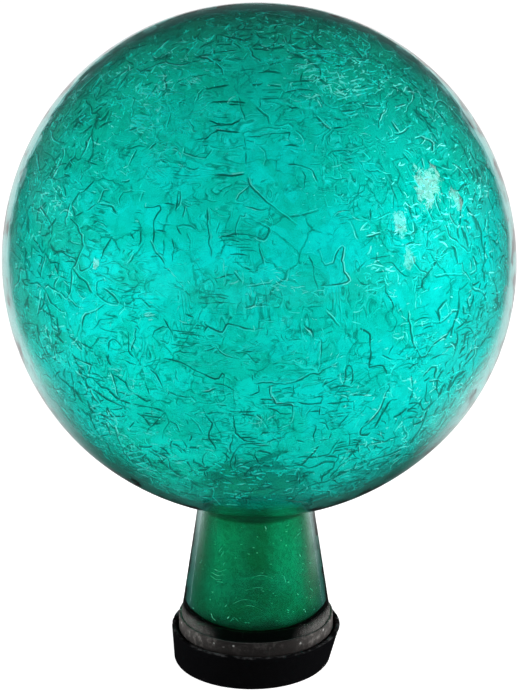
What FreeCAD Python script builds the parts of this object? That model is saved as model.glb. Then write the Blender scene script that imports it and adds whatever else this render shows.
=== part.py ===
import FreeCAD, Part
import Sketcher
import math
import os

# Garden gazing ball: a blown ball with a short flared neck, in two layers of glass, standing in a rubber cap.
# Millimetres, +Z up. The origin is on the ground under the ball's centre, on the cap's underside.

sizes = [
    ("ballDiameter", 254.0, "outside of the blown ball"),
    ("neckDrop", 209.2, "from the ball's centre down to the mouth of the neck"),
    ("neckShift", -1.8, "how far the hand-set neck stands off the ball's axis, along X"),
    ("neckTopDiameter", 56.6, "outside of the neck where it leaves the ball"),
    ("footDiameter", 76.2, "outside of the straight foot of the neck"),
    ("footMargin", 0.3, "straight foot that stands above the ring"),
    ("creaseRadius", 1.2, "small fillet in the crease between neck and ball"),
    ("mouthRadius", 2.5, "fire-polished edges of the mouth"),
    ("casingWall", 3.6, "clear glass on the ball"),
    ("neckWallTop", 2.0, "clear glass on the neck where it leaves the ball"),
    ("neckWallBottom", 3.7, "clear glass outside the coloured layer's lower end"),
    ("liningRise", 22.7, "from the mouth up to the lower end of the coloured layer"),
    ("filmGap", 0.3, "film of air between the crackled layer and the clear one"),
    ("liningWall", 1.4, "coloured crackled glass in the ball"),
    ("neckLiningWall", 3.0, "coloured glass in the neck, where it is gathered thicker"),
    ("ringSlack", 0.15, "between the glass foot and the ring round it"),
    ("ringWall", 1.4, "rubber ring round the foot"),
    ("ringHeight", 9.2, "ring from its lower to its upper edge"),
    ("ringProud", 6.7, "ring that shows above the cap's lip"),
    ("ringEdgeRadius", 0.9, "upper outer edge of the ring"),
    ("capGap", 1.05, "open gap between the ring and the cap's lip"),
    ("capWall", 2.6, "cap's wall at its lip"),
    ("capHeight", 19.5, "cap from underside to lip"),
    ("capFloor", 7.0, "rubber under the glass"),
    ("capTaper", 3.3, "how much smaller the underside's radius is than the lip's"),
    ("capSkew", -2.1, "how far the underside is pressed off the lip's axis, along X"),
    ("capSocketSlack", 0.6, "between the glass foot and the socket at its floor"),
    ("capFootRadius", 1.6, "edge of the underside"),
    ("capLipRadius", 0.9, "both edges of the lip"),
    ("seatGap", 0.3, "between the mouth of the neck and the cap's floor"),
    ("cutOverrun", 5.0, "how far a profile runs past the face that it opens or joins"),
    ("edgeReach", 0.8, "how near an edge lies to the circle that it is picked by"),
]

points_per_edge = 8

doc = FreeCAD.newDocument("GazingBall")
sheet = doc.addObject("Spreadsheet::Sheet", "Sizes")
for row, (alias, value, meaning) in enumerate(sizes, start=1):
    sheet.set(f"A{row}", alias)
    sheet.set(f"B{row}", str(value))
    sheet.set(f"C{row}", meaning)
    sheet.setAlias(f"B{row}", alias)
doc.recompute()

# Levels and radii that follow from the sizes, as expressions on the sheet's cells
ball_radius = "(Sizes.ballDiameter / 2)"
mouth_level = "(Sizes.capFloor + Sizes.seatGap)"
ball_level = f"({mouth_level} + Sizes.neckDrop)"
ledge_level = f"({mouth_level} + Sizes.liningRise)"
ring_top_level = "(Sizes.capHeight + Sizes.ringProud)"
foot_top_level = f"({ring_top_level} + Sizes.footMargin)"
foot_radius = "(Sizes.footDiameter / 2)"
neck_top_radius = "(Sizes.neckTopDiameter / 2)"
neck_top_depth = f"sqrt({ball_radius} * {ball_radius} - {neck_top_radius} * {neck_top_radius})"
neck_top_level = f"({ball_level} - {neck_top_depth})"
neck_flare = f"(({foot_radius} - {neck_top_radius}) / ({neck_top_level} - {foot_top_level}))"
inside_ball_level = f"({neck_top_level} + Sizes.casingWall + Sizes.cutOverrun)"
casing_bore_top = f"({neck_top_radius} - Sizes.neckWallTop)"
casing_bore_bottom = f"({foot_radius} - Sizes.neckWallBottom)"
casing_void_radius = f"({ball_radius} - Sizes.casingWall)"
lining_radius = f"({casing_void_radius} - Sizes.filmGap)"
lining_void_radius = f"({lining_radius} - Sizes.liningWall)"
lining_neck_top = f"({casing_bore_top} - Sizes.filmGap)"
lining_neck_bottom = f"({casing_bore_bottom} - Sizes.filmGap)"
lining_bore_top = f"({lining_neck_top} - Sizes.neckLiningWall)"
lining_bore_bottom = f"({lining_neck_bottom} - Sizes.neckLiningWall)"
ring_inside = f"({foot_radius} + Sizes.ringSlack)"
ring_outside = f"({ring_inside} + Sizes.ringWall)"
lip_inside = f"({ring_outside} + Sizes.capGap)"
lip_outside = f"({lip_inside} + Sizes.capWall)"


def new_body(label):
    body = doc.addObject("PartDesign::Body", label)
    body.Label = label
    return body


def plane_of(body, role):
    return next(item for item in body.Origin.OriginFeatures if item.Role == role)


def new_sketch(body, name, role, shift="0", level="0"):
    """A sketch on one of the body's own planes, moved along X by shift and along Z by level."""
    sketch = body.newObject("Sketcher::SketchObject", name)
    sketch.AttachmentSupport = [(plane_of(body, role), "")]
    sketch.MapMode = "FlatFace"
    sketch.setExpression("AttachmentOffset.Base.x", shift)
    if role == "XY_Plane":
        sketch.setExpression("AttachmentOffset.Base.z", level)
    doc.recompute()
    return sketch


def value_of(owner, expression):
    return float(owner.evalExpression(expression))


def bind(sketch, constraint, expression):
    sketch.setExpression(f"Constraints[{constraint}]", expression)


def add_polygon(sketch, corners):
    """A closed outline. Each corner is a radius and a level, as expressions; no radius means on the axis."""
    places = [
        FreeCAD.Vector(0 if radius is None else value_of(sketch, radius), value_of(sketch, level), 0)
        for radius, level in corners
    ]
    for start, end in zip(places, places[1:] + places[:1]):
        sketch.addGeometry(Part.LineSegment(start, end), False)
    for side in range(len(corners)):
        sketch.addConstraint(Sketcher.Constraint("Coincident", side, 2, (side + 1) % len(corners), 1))
    for side, (radius, level) in enumerate(corners):
        if radius is None:
            sketch.addConstraint(Sketcher.Constraint("PointOnObject", side, 1, -2))
        else:
            across = sketch.addConstraint(Sketcher.Constraint("DistanceX", -1, 1, side, 1, places[side].x))
            bind(sketch, across, radius)
        up = sketch.addConstraint(Sketcher.Constraint("DistanceY", -1, 1, side, 1, places[side].y))
        bind(sketch, up, level)
    doc.recompute()


def add_half_disc(sketch, radius, level):
    """Half a disc on the right of the sketch's upright axis, its centre on that axis at the given level."""
    size, height = value_of(sketch, radius), value_of(sketch, level)
    centre = FreeCAD.Vector(0, height, 0)
    top, bottom = centre + FreeCAD.Vector(0, size, 0), centre - FreeCAD.Vector(0, size, 0)
    whole = Part.Circle(centre, FreeCAD.Vector(0, 0, 1), size)
    arc = sketch.addGeometry(Part.ArcOfCircle(whole, -math.pi / 2, math.pi / 2), False)
    chord = sketch.addGeometry(Part.LineSegment(top, bottom), False)
    sketch.addConstraint(Sketcher.Constraint("Coincident", arc, 2, chord, 1))
    sketch.addConstraint(Sketcher.Constraint("Coincident", arc, 1, chord, 2))
    sketch.addConstraint(Sketcher.Constraint("PointOnObject", arc, 3, -2))
    sketch.addConstraint(Sketcher.Constraint("PointOnObject", chord, 1, -2))
    sketch.addConstraint(Sketcher.Constraint("PointOnObject", chord, 2, -2))
    bind(sketch, sketch.addConstraint(Sketcher.Constraint("Radius", arc, size)), radius)
    bind(sketch, sketch.addConstraint(Sketcher.Constraint("DistanceY", -1, 1, arc, 3, height)), level)
    doc.recompute()


def require(feature):
    """Recompute, and stop if the feature has failed."""
    doc.recompute()
    if {"Invalid", "Error"} & set(feature.State) or feature.Shape.isNull() or not feature.Shape.isValid():
        raise RuntimeError(f"{feature.Label} failed: {feature.getStatusString()}")
    return feature


def spin(body, kind, name, sketch):
    """Turn a profile all the way round its sketch's upright axis, adding or cutting."""
    before = body.Tip.Shape.Volume if kind == "PartDesign::Groove" else 0
    turned = body.newObject(kind, name)
    turned.Profile = sketch
    turned.ReferenceAxis = (sketch, ["V_Axis"])
    turned.Angle = 360
    sketch.Visibility = False
    require(turned)
    if kind == "PartDesign::Groove" and not turned.Shape.Volume < before:
        raise RuntimeError(f"{name} cuts nothing")
    return turned


def edges_round(feature, circle):
    """Names of the edges that follow a level circle, given as expressions for its shift, radius and level."""
    shift, radius, level = (value_of(feature, part) for part in circle)
    reach = value_of(feature, "Sizes.edgeReach")
    names = []
    for number, edge in enumerate(feature.Shape.Edges, start=1):
        points = [] if edge.Degenerated else edge.discretize(points_per_edge)
        off_circle = [abs(math.hypot(point.x - shift, point.y) - radius) for point in points]
        off_level = [abs(point.z - level) for point in points]
        if points and max(off_circle + off_level) < reach:
            names.append(f"Edge{number}")
    return names


def round_edges(body, name, feature, circles, radius):
    """Fillet the edges along the given circles."""
    names = []
    for circle in circles:
        found = edges_round(feature, circle)
        if not found:
            raise RuntimeError(f"{name}: no edge at {circle}")
        names += found
    fillet = body.newObject("PartDesign::Fillet", name)
    fillet.Base = (feature, sorted(set(names)))
    fillet.setExpression("Radius", radius)
    return require(fillet)


def glass_blank(body, ball_size, neck_corners):
    """A ball with a neck turned on to it: the solid that a hollow layer of glass is cut from."""
    ball_sketch = new_sketch(body, body.Label + "_ball_outline", "YZ_Plane")
    add_half_disc(ball_sketch, ball_size, ball_level)
    spin(body, "PartDesign::Revolution", body.Label + "_ball", ball_sketch)
    neck_sketch = new_sketch(body, body.Label + "_neck_outline", "XZ_Plane", shift="Sizes.neckShift")
    add_polygon(neck_sketch, neck_corners)
    return spin(body, "PartDesign::Revolution", body.Label + "_neck", neck_sketch)


def glass_hollow(body, void_size, bore_corners):
    """Cut the neck's bore and then the ball's void out of a blank."""
    bore_sketch = new_sketch(body, body.Label + "_bore_outline", "XZ_Plane", shift="Sizes.neckShift")
    add_polygon(bore_sketch, bore_corners)
    spin(body, "PartDesign::Groove", body.Label + "_bore", bore_sketch)
    void_sketch = new_sketch(body, body.Label + "_void_outline", "YZ_Plane")
    add_half_disc(void_sketch, void_size, ball_level)
    return spin(body, "PartDesign::Groove", body.Label + "_void", void_sketch)


def make_clear_casing():
    body = new_body("clear_casing")
    neck = [
        (None, mouth_level),
        (foot_radius, mouth_level),
        (foot_radius, foot_top_level),
        (f"({neck_top_radius} - {neck_flare} * Sizes.cutOverrun)", f"({neck_top_level} + Sizes.cutOverrun)"),
        (None, f"({neck_top_level} + Sizes.cutOverrun)"),
    ]
    blank = glass_blank(body, ball_radius, neck)
    crease = ("Sizes.neckShift", neck_top_radius, neck_top_level)
    round_edges(body, "casing_crease", blank, [crease], "Sizes.creaseRadius")
    bore = [
        (None, f"({mouth_level} - Sizes.cutOverrun)"),
        (lining_bore_bottom, f"({mouth_level} - Sizes.cutOverrun)"),
        (lining_bore_bottom, ledge_level),
        (casing_bore_bottom, ledge_level),
        (casing_bore_top, neck_top_level),
        (casing_bore_top, inside_ball_level),
        (None, inside_ball_level),
    ]
    hollow = glass_hollow(body, casing_void_radius, bore)
    mouth = [("Sizes.neckShift", radius, mouth_level) for radius in (foot_radius, lining_bore_bottom)]
    round_edges(body, "casing_mouth", hollow, mouth, "Sizes.mouthRadius")
    return body


def make_crackle_lining():
    body = new_body("crackle_lining")
    end_level = f"({ledge_level} + Sizes.filmGap)"
    neck = [
        (None, end_level),
        (lining_neck_bottom, end_level),
        (lining_neck_top, neck_top_level),
        (lining_neck_top, inside_ball_level),
        (None, inside_ball_level),
    ]
    glass_blank(body, lining_radius, neck)
    bore = [
        (None, f"({end_level} - Sizes.cutOverrun)"),
        (lining_bore_bottom, f"({end_level} - Sizes.cutOverrun)"),
        (lining_bore_bottom, end_level),
        (lining_bore_top, neck_top_level),
        (lining_bore_top, f"({inside_ball_level} + Sizes.cutOverrun)"),
        (None, f"({inside_ball_level} + Sizes.cutOverrun)"),
    ]
    glass_hollow(body, lining_void_radius, bore)
    return body


def make_neck_ring():
    body = new_body("neck_ring")
    sketch = new_sketch(body, "ring_outline", "XZ_Plane", shift="Sizes.neckShift")
    ring_bottom_level = f"({ring_top_level} - Sizes.ringHeight)"
    corners = [
        (ring_inside, ring_bottom_level),
        (ring_outside, ring_bottom_level),
        (ring_outside, ring_top_level),
        (ring_inside, ring_top_level),
    ]
    add_polygon(sketch, corners)
    turned = spin(body, "PartDesign::Revolution", "ring_turned", sketch)
    edge = ("Sizes.neckShift", ring_outside, ring_top_level)
    round_edges(body, "ring_edge", turned, [edge], "Sizes.ringEdgeRadius")
    return body


def make_rubber_cap():
    body = new_body("rubber_cap")
    underside_radius = f"({lip_outside} - Sizes.capTaper)"
    underside_shift = "(Sizes.neckShift + Sizes.capSkew)"
    underside = new_sketch(body, "cap_underside", "XY_Plane", shift=underside_shift)
    lip = new_sketch(body, "cap_lip", "XY_Plane", shift="Sizes.neckShift", level="Sizes.capHeight")
    for sketch, radius in ((underside, underside_radius), (lip, lip_outside)):
        circle = Part.Circle(FreeCAD.Vector(0, 0, 0), FreeCAD.Vector(0, 0, 1), value_of(sketch, radius))
        sketch.addGeometry(circle, False)
        sketch.addConstraint(Sketcher.Constraint("Coincident", 0, 3, -1, 1))
        bind(sketch, sketch.addConstraint(Sketcher.Constraint("Radius", 0, circle.Radius)), radius)
    doc.recompute()
    cup = body.newObject("PartDesign::AdditiveLoft", "cap_outside")
    cup.Profile = underside
    cup.Sections = [lip]
    cup.Ruled = True
    require(cup)
    socket_sketch = new_sketch(body, "socket_outline", "XZ_Plane", shift="Sizes.neckShift")
    socket = [
        (None, "Sizes.capFloor"),
        (f"({foot_radius} + Sizes.capSocketSlack)", "Sizes.capFloor"),
        (lip_inside, "Sizes.capHeight"),
        (lip_inside, "(Sizes.capHeight + Sizes.cutOverrun)"),
        (None, "(Sizes.capHeight + Sizes.cutOverrun)"),
    ]
    add_polygon(socket_sketch, socket)
    hollow = spin(body, "PartDesign::Groove", "cap_socket", socket_sketch)
    lips = [("Sizes.neckShift", radius, "Sizes.capHeight") for radius in (lip_outside, lip_inside)]
    lipped = round_edges(body, "cap_lip_edges", hollow, lips, "Sizes.capLipRadius")
    foot = (underside_shift, underside_radius, "0")
    round_edges(body, "cap_foot_edge", lipped, [foot], "Sizes.capFootRadius")
    return body


bodies = [make_clear_casing(), make_crackle_lining(), make_neck_ring(), make_rubber_cap()]
doc.recompute()

for item in doc.Objects:
    if {"Invalid", "Error"} & set(item.State):
        raise RuntimeError(f"{item.Label} failed: {item.State}")
for body in bodies:
    shape = body.Shape
    if shape.isNull() or not shape.isValid() or len(shape.Solids) != 1:
        raise RuntimeError(f"{body.Label} is not one valid solid")

os.makedirs("parts", exist_ok=True)
for body in bodies:
    body.Shape.exportStep(f"parts/{body.Label}.step")
    box = body.Shape.optimalBoundingBox()
    across = f"X {box.XMin:.2f} {box.XMax:.2f}, Y {box.YMin:.2f} {box.YMax:.2f}"
    print(f"{body.Label}: volume {body.Shape.Volume:.0f}, {across}, Z {box.ZMin:.2f} {box.ZMax:.2f}")
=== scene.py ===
import bpy
import math
import random
import numpy as np
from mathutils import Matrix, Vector, noise


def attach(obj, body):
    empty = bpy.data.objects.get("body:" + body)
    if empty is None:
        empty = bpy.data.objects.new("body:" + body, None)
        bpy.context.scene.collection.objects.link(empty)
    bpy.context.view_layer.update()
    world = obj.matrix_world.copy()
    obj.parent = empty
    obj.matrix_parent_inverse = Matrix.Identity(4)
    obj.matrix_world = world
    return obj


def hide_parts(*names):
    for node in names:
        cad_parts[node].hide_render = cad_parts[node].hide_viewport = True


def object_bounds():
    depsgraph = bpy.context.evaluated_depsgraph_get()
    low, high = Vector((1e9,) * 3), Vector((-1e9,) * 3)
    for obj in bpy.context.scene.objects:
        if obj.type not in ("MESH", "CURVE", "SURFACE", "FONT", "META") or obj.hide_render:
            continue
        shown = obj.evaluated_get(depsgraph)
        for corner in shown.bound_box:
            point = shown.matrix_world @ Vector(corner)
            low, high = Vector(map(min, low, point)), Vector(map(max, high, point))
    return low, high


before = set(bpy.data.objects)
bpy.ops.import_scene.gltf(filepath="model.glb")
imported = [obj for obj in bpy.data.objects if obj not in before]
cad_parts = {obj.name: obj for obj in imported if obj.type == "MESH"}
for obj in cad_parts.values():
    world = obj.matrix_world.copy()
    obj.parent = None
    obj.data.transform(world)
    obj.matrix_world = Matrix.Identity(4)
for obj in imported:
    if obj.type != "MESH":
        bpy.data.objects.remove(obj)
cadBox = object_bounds()
mm = 0.001

# Levels and radii of the glass as the frame has them, in millimetres
glass = {
    "ballCentre": 216.5, "ballRadius": 127.0, "voidRadius": 123.4,
    "liningRadius": 123.1, "liningVoid": 121.7,
    "neckX": -1.8, "neckTop": 92.69, "neckTopRadius": 28.3, "footTop": 26.5, "footRadius": 38.1,
    "mouth": 7.3, "mouthRadius": 2.5, "ledge": 30.0, "casingBoreLow": 34.4, "casingBoreHigh": 26.3,
    "liningEnd": 30.3, "liningNeckLow": 34.1, "liningNeckHigh": 26.0, "boreLow": 31.1, "boreHigh": 23.0,
    "crease": 1.2, "neckPaintAbove": 4.1,
}

# the photograph's camera, in millimetres, degrees and pixels, and its clipping in metres
view = {
    "elevation": 20.36, "distance": 1600.0, "aimX": 0.6, "aimZ": 170.9, "clip": (0.05, 60.0),
    "focalPixels": 3203.7, "imageWidth": 521, "imageHeight": 693, "sensor": 24.0,
}


def cameraAxes():
    tilt = math.radians(view["elevation"])
    up = Vector((0, math.sin(tilt), math.cos(tilt)))
    back = Vector((0, -math.cos(tilt), math.sin(tilt)))
    return Vector((1, 0, 0)), up, back


def photoRay(pixel, level):
    # the eye and the way of a pixel of the photograph, with heights counted from a level
    right, up, back = cameraAxes()
    eye = Vector((view["aimX"], 0, view["aimZ"] - level)) + back * view["distance"]
    across, down = pixel[0] - view["imageWidth"] / 2, pixel[1] - view["imageHeight"] / 2
    return eye, (right * across - up * down - back * view["focalPixels"]).normalized()


def placed(name, data):
    thing = bpy.data.objects.new(name, data)
    bpy.context.scene.collection.objects.link(thing)
    return thing


def makeCamera():
    data = bpy.data.cameras.new("photoCamera")
    data.sensor_fit = "VERTICAL"
    data.sensor_height = view["sensor"]
    data.lens = view["sensor"] * view["focalPixels"] / view["imageHeight"]
    data.clip_start, data.clip_end = view["clip"]
    camera = placed("photoCamera", data)
    aim = Vector((view["aimX"], 0, view["aimZ"])) * mm
    camera.location = aim + cameraAxes()[2] * view["distance"] * mm
    camera.rotation_euler = (math.pi / 2 - math.radians(view["elevation"]), 0, 0)
    bpy.context.scene.camera = camera


makeCamera()
print("camera set")


# Small helpers for materials

class Wire:
    # a node's output that can be used in sums
    def __init__(self, paint, socket):
        self.paint = paint
        self.socket = socket

    def __add__(self, other):
        return self.paint.sum("ADD", self, other)

    def __sub__(self, other):
        return self.paint.sum("SUBTRACT", self, other)

    def __rsub__(self, other):
        return self.paint.sum("SUBTRACT", other, self)

    def __mul__(self, other):
        return self.paint.sum("MULTIPLY", self, other)

    def __abs__(self):
        return self.paint.node("ShaderNodeMath", {"operation": "ABSOLUTE"}, {0: self})

    __radd__ = __add__
    __rmul__ = __mul__


class Paint:
    # the node tree of one material or of the world
    def __init__(self, owner):
        owner.use_nodes = True
        self.owner = owner
        self.tree = owner.node_tree
        self.tree.nodes.clear()

    def node(self, kind, settings=None, inputs=None, output=0):
        made = self.tree.nodes.new(kind)
        for key, value in (settings or {}).items():
            setattr(made, key, value)
        for key, value in (inputs or {}).items():
            socket = made.inputs[key]
            if isinstance(value, Wire):
                self.tree.links.new(value.socket, socket)
            elif isinstance(value, tuple) and len(value) == 3 and socket.type == "RGBA":
                socket.default_value = (*value, 1)
            else:
                socket.default_value = value
        return Wire(self, made.outputs[output]) if len(made.outputs) else made

    def sum(self, operation, first, second):
        return self.node("ShaderNodeMath", {"operation": operation}, {0: first, 1: second})

    def vector(self, operation, first, second=(0, 0, 0), output=0):
        return self.node("ShaderNodeVectorMath", {"operation": operation}, {0: first, 1: second}, output)

    def mixValue(self, factor, first, second):
        return self.node("ShaderNodeMix", {"data_type": "FLOAT"}, {0: factor, 2: first, 3: second})

    def mixColour(self, factor, first, second, blend="MIX"):
        settings = {"data_type": "RGBA", "blend_type": blend}
        return self.node("ShaderNodeMix", settings, {0: factor, 6: first, 7: second}, 2)

    def shaded(self, colour, tone):
        # a colour made darker or lighter by a value
        grey = self.node("ShaderNodeCombineColor", {}, {0: tone, 1: tone, 2: tone})
        return self.mixColour(1.0, colour, grey, "MULTIPLY")

    def mixShader(self, factor, first, second):
        return self.node("ShaderNodeMixShader", {}, {0: factor, 1: first, 2: second})

    def place(self):
        return self.node("ShaderNodeTexCoord", {}, {}, "Object")

    def level(self, place, axis="Z"):
        return self.node("ShaderNodeSeparateXYZ", {}, {0: place}, axis)

    def ramp(self, value, low, high, first=0.0, second=1.0):
        settings = {"interpolation_type": "SMOOTHSTEP"}
        return self.node("ShaderNodeMapRange", settings, {0: value, 1: low, 2: high, 3: first, 4: second})

    def grain(self, place, scale, detail=3.0, rough=0.5, output=0):
        inputs = {"Vector": place, "Scale": scale, "Detail": detail, "Roughness": rough}
        return self.node("ShaderNodeTexNoise", {}, inputs, output)

    def patches(self, place, scale, detail, rough, *fade):
        return self.ramp(self.grain(place, scale, detail, rough), *fade)

    def cells(self, place, scale, output, **settings):
        return self.node("ShaderNodeTexVoronoi", settings, {"Vector": place, "Scale": scale}, output)

    def specks(self, place, look):
        # dots in the middle of scattered cells, where the patches let them be
        dots = self.ramp(self.cells(place, look["scale"], "Distance"), *look["dot"], 1.0, 0.0)
        return dots * self.patches(place, *look["patches"])

    def bump(self, height, strength=1.0, distance=1.0):
        return self.node("ShaderNodeBump", {}, {"Strength": strength, "Distance": distance, "Height": height})

    def surface(self, colour, rough, others):
        inputs = {"Base Color": colour, "Roughness": rough, **others}
        return self.node("ShaderNodeBsdfPrincipled", {}, inputs)

    def glow(self, inputs):
        return self.node("ShaderNodeEmission", {}, inputs)

    def light(self, kind):
        return self.node("ShaderNodeLightPath", {}, {}, kind)

    def show(self, shader, **others):
        kind = "World" if isinstance(self.owner, bpy.types.World) else "Material"
        self.node("ShaderNodeOutput" + kind, {}, {"Surface": shader, **others})


def newPaint(name):
    return Paint(bpy.data.materials.new(name))


def letLampsThrough(paint, shader, tint, **others):
    # lamps reach what lies behind the glass
    clear = paint.node("ShaderNodeBsdfTransparent", {}, {"Color": tint})
    paint.show(paint.mixShader(paint.light("Is Shadow Ray"), shader, clear), **others)


# Stage

stageLook = {
    "floorReach": 9.0, "floorColour": (0.80, 0.80, 0.80), "floorLift": 0.92,
    # mirrors see a fan of white paper on the floor behind the ball, in metres, and a dark room
    "paperNear": (0.17, 0.47), "nearSpread": 0.8, "paperCorner": (0.11, 0.19, 0.0, 0.08),
    "paperFar": (2.5, 6.0, 0.80, 0.0), "farSpread": 2.0, "paperFan": 0.45,
    "paperSide": (0.18, 0.31, 1.0, 0.12), "paperEdge": (0.31, 0.80, 1.0, 0.0),
    # what they see beside the paper, first straight and then from inside the glass
    "mirrorFloor": [(0.020, 0.020, 0.020), (0.055, 0.170, 0.140)],
    "mirrorRoom": [(1.0, 1.0, 1.0), (0.15, 1.0, 0.90)],
    # the room by height: its light on things, itself seen straight, and in a mirror
    "sky": (-0.02, 0.32, 1.0, 0.0), "skyLevel": 0.55, "skyRest": 0.03,
    "straight": (0.12, 0.45, 1.0, 0.10), "mirrored": (0.02, 0.34, 0.10, 0.035),
}

# "from" is azimuth and elevation as seen from the ball, and distance in metres
lamps = {
    "sideLightRight": {"from": (-12, 5, 1.5), "size": (1.0, 0.8), "radiance": 14.6},
    "sideLightLeft": {"from": (190, 5, 1.5), "size": (1.0, 0.8), "radiance": 9.4},
}

# a soft patch of sun on the ball's right front
sunPatch = {"from": (-46, 25, 1.4), "cone": 4.4, "energy": 42.0, "radius": 0.02}

# windows that only mirrored rays see
windows = {
    "windowRight": {"from": (2, 24, 1.4), "size": (0.70, 0.44), "radiance": 5.4, "seed": 3.1},
    "windowNear": {"from": (-22, 21, 1.4), "size": (0.22, 0.40), "radiance": 4.6, "seed": 7.7},
    "windowLow": {"from": (-23, 8, 1.4), "size": (0.22, 0.30), "radiance": 3.6, "seed": 1.3},
    "windowFar": {"from": (14, 13, 1.4), "size": (0.22, 0.34), "radiance": 3.2, "seed": 5.9},
    "windowLeft": {"from": (197, 5, 1.4), "size": (0.14, 0.17), "radiance": 4.2, "seed": 9.2},
}
windowLook = {
    "ragged": (14.0, 5.0, 0.68), "raggedness": 1.9, "edge": (1.40, 1.62, 1.0, 0.0),
    "streakStretch": (1.0, 0.3, 1.0), "lightStreaks": (70.0, 3.0, 0.6, 0.38, 0.54, 0.45, 1.0),
}


def mirroredRay(paint):
    # 1 once a ray has been mirrored by glass or rubber, 0 while it has only gone straight through glass
    return paint.sum("MINIMUM", paint.light("Glossy Depth"), 1.0)


def insideGlass(paint):
    # 1 for a ray that has gone through glass, 0 for any other
    return paint.sum("MINIMUM", paint.light("Transmission Depth"), 1.0)


def card(name, x, y, paint):
    mesh = bpy.data.meshes.new(name)
    mesh.from_pydata([(-x, -y, 0), (x, -y, 0), (x, y, 0), (-x, y, 0)], [], [(0, 1, 2, 3)])
    mesh.materials.append(paint.owner)
    return placed(name, mesh)


def makeFloor():
    look = stageLook
    paint = newPaint("paleStudioFloor")
    place = paint.place()
    depth, across = paint.level(place, "Y"), paint.level(place, "X")
    aside = abs(across)
    near = depth + aside * look["nearSpread"] + paint.ramp(across, *look["paperCorner"])
    beside = aside - depth * look["paperFan"]
    paper = paint.ramp(near, *look["paperNear"])
    paper = paper * paint.ramp(depth - aside * look["farSpread"], *look["paperFar"])
    paper = paper * paint.ramp(beside, *look["paperSide"]) * paint.ramp(beside, *look["paperEdge"])
    mirrored = mirroredRay(paint)
    bare = paint.mixColour(insideGlass(paint), *look["mirrorFloor"])
    inMirror = paint.mixColour(paper, bare, (1, 1, 1))
    matt = paint.node("ShaderNodeBsdfDiffuse", {}, {"Color": look["floorColour"]})
    lift = paint.glow({"Strength": paint.light("Is Camera Ray") * look["floorLift"]})
    lit = paint.node("ShaderNodeAddShader", {}, {0: matt, 1: lift})
    plain = paint.glow({"Color": paint.mixColour(mirrored, (1, 1, 1), inMirror)})
    glassRay = paint.sum("MAXIMUM", mirrored, paint.light("Is Transmission Ray"))
    paint.show(paint.mixShader(glassRay, lit, plain))
    card("studioFloor", look["floorReach"], look["floorReach"], paint)


def makeWorld():
    look = stageLook
    world = bpy.data.worlds.new("studioWorld")
    bpy.context.scene.world = world
    paint = Paint(world)
    height = paint.level(paint.node("ShaderNodeTexCoord", {}, {}, "Generated"))
    mirrored = mirroredRay(paint)
    sky = paint.ramp(height, *look["sky"]) * look["skyLevel"] + look["skyRest"]
    straight = paint.ramp(height, *look["straight"])
    seen = paint.mixValue(mirrored, straight, paint.ramp(height, *look["mirrored"]))
    strength = paint.mixValue(paint.light("Is Diffuse Ray"), seen, sky)
    room = paint.mixColour(insideGlass(paint), *look["mirrorRoom"])
    colour = paint.mixColour(mirrored, (1, 1, 1), room)
    paint.show(paint.node("ShaderNodeBackground", {}, {"Color": colour, "Strength": strength}))


def aimAtBall(thing, azimuth, elevation, distance):
    turn, tilt = math.radians(azimuth), math.radians(elevation)
    way = Vector((math.cos(turn) * math.cos(tilt), math.sin(turn) * math.cos(tilt), math.sin(tilt)))
    thing.location = Vector((0, 0, glass["ballCentre"])) * mm + way * distance
    thing.rotation_euler = way.to_track_quat("Z", "Y").to_euler()


def hide(thing, *rays):
    for ray in rays:
        setattr(thing, "visible_" + ray, False)


def makeLamp(name, kind, look):
    data = bpy.data.lights.new(name, kind)
    lamp = placed(name, data)
    aimAtBall(lamp, *look["from"])
    hide(lamp, "camera", "transmission", "glossy")
    return data


def makeLamps():
    for name, look in lamps.items():
        width, height = look["size"]
        data = makeLamp(name, "AREA", look)
        data.shape = "RECTANGLE"
        data.size = width
        data.size_y = height
        data.energy = look["radiance"] * width * height * math.pi
    data = makeLamp("sunPatch", "SPOT", sunPatch)
    data.spot_size = math.radians(sunPatch["cone"])
    data.spot_blend = 1.0
    data.shadow_soft_size = sunPatch["radius"]
    data.energy = sunPatch["energy"]


def makeWindows():
    # each window is broken up by what stands before it, so that its glint has a ragged edge
    for name, look in windows.items():
        x, y = look["size"][0] / 2, look["size"][1] / 2
        paint = newPaint(name + "Light")
        place = paint.place()
        shifted = paint.vector("ADD", place, (look["seed"], 0, 0))
        far = paint.vector("LENGTH", paint.vector("MULTIPLY", place, (1 / x, 1 / y, 0)), output="Value")
        ragged = paint.grain(shifted, *windowLook["ragged"]) * windowLook["raggedness"]
        stretched = paint.vector("MULTIPLY", shifted, windowLook["streakStretch"])
        lightStreaks = paint.patches(stretched, *windowLook["lightStreaks"])
        lit = paint.ramp(far + ragged, *windowLook["edge"]) * lightStreaks
        paint.show(paint.glow({"Strength": lit * look["radiance"]}))
        window = card(name, x, y, paint)
        aimAtBall(window, *look["from"])
        hide(window, "camera", "diffuse", "transmission", "shadow", "volume_scatter")


makeFloor()
makeWorld()
makeLamps()
makeWindows()
print("stage and lamps set")


# Turned shapes

def linked(name, verts, faces, paint, body, replaces=None, smooth=True):
    mesh = bpy.data.meshes.new(name)
    mesh.from_pydata([tuple(v) for v in verts], [], [tuple(f) for f in faces])
    mesh.materials.append(paint.owner)
    mesh.polygons.foreach_set("use_smooth", [smooth] * len(mesh.polygons))
    mesh.update()
    piece = placed(name, mesh)
    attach(piece, body)
    if replaces:
        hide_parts(replaces)
    return piece


def band(a, b, count):
    # faces between two rings whose points start at a and b
    return [(a + i, b + i, b + (i + 1) % count, a + (i + 1) % count) for i in range(count)]


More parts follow.
